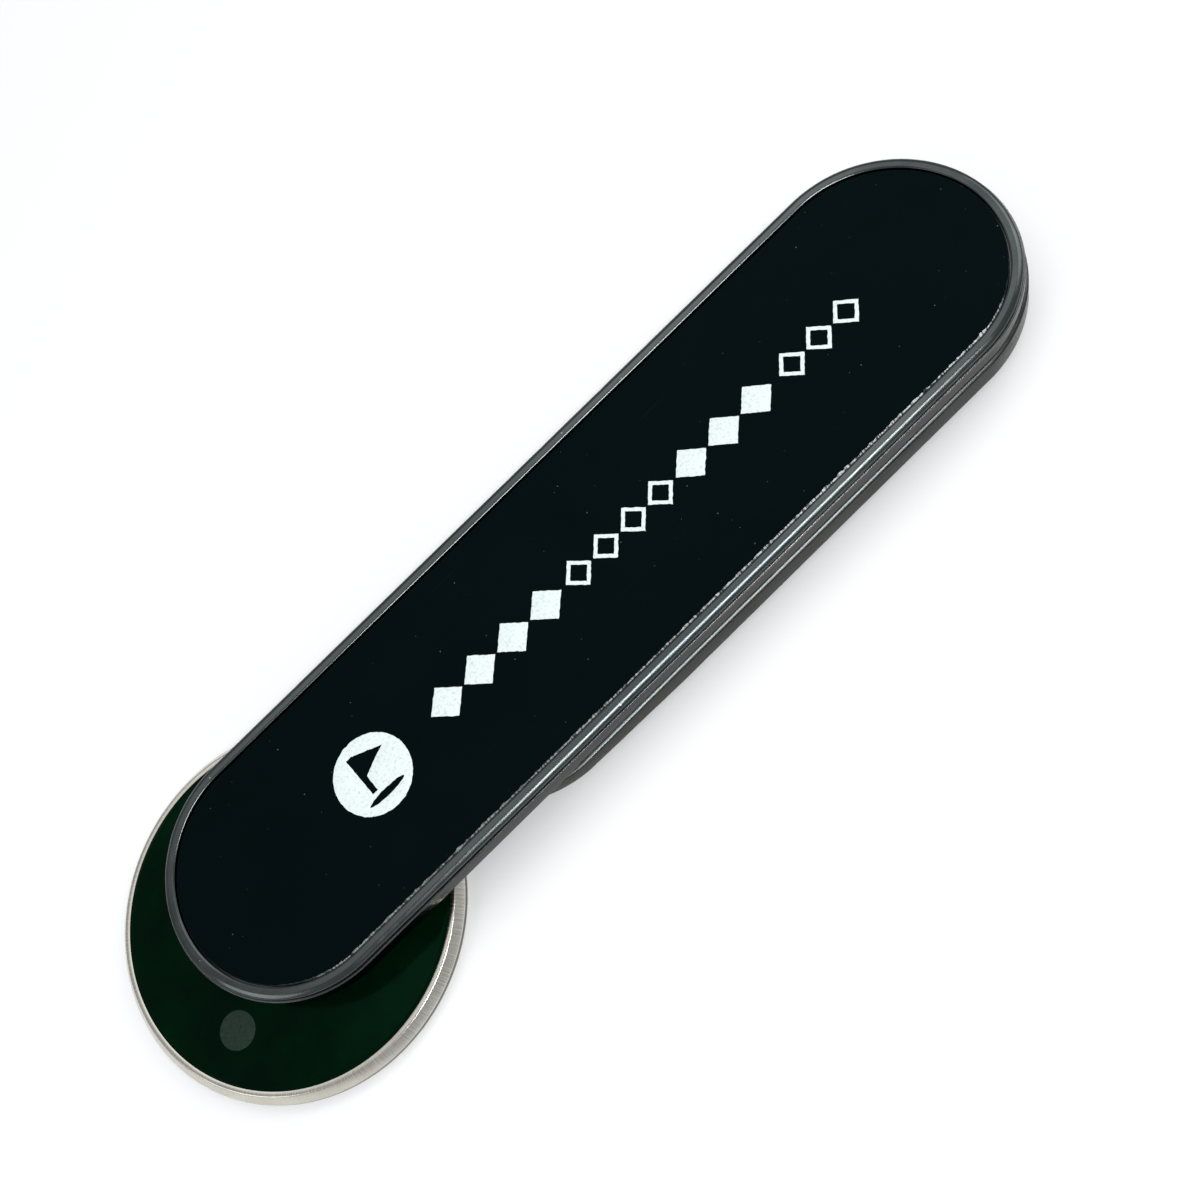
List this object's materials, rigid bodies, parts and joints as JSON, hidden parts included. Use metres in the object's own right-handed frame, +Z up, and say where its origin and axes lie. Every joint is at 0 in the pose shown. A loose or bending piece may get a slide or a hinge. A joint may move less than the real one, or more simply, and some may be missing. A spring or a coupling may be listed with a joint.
{
  "type": "divot repair tool",
  "caption": "Flat pocket divot repair tool with a black-faced stadium handle, a two-prong fork that swivels out from under it, and a magnetic enamel ball marker.",
  "frame": {"origin": "on the fork's swivel axis, at the surface that the folded tool rests on (the underside of the pivot screw's head)", "axes": "+Z up through the face panel; the handle runs along -X from the swivel to the ball marker; +X points out past the swivel end"},
  "size_m": [0.0792, 0.025, 0.0049],
  "materials": {
    "gunmetal": "satin black-nickel plating over die-cast zinc",
    "fork_gunmetal": "satin black-nickel plating over steel",
    "panel_black": "black satin lacquer with a white pad print",
    "adhesive": "thin double-sided film",
    "steel": "turned and plated steel",
    "cup_steel": "nickel-plated mild steel",
    "magnet_nickel": "bright nickel plating",
    "spring_steel": "dark spring steel",
    "nylon": "natural nylon",
    "marker_nickel": "warm bright nickel, finely brushed",
    "enamel_green": "deep green hard enamel, polished"
  },
  "bodies": {
    "handle": {"top_shell": "gunmetal", "face_panel": "panel_black", "panel_adhesive": "adhesive", "back_plate": "gunmetal", "shell_screws": "steel", "magnet_cup": "cup_steel", "marker_magnet": "magnet_nickel", "pivot_barrel": "steel", "pivot_screw": "steel", "spring_washer": "spring_steel", "friction_washer": "nylon", "stop_pin": "steel"},
    "fork": {"fork_blade": "fork_gunmetal"},
    "marker": {"marker_base": "marker_nickel", "marker_enamel": "enamel_green"}
  },
  "joints": [
    {"name": "fork_swivel", "type": "hinge", "parent": "handle", "child": "fork", "pos_m": [0, 0, 0.0019], "axis": [0, 0, 1], "range_deg": [0, 180]},
    {"name": "marker_slide", "type": "slide", "parent": "handle", "child": "marker", "axis": [-1, 0, 0], "range_m": [0, 0.025]}
  ]
}
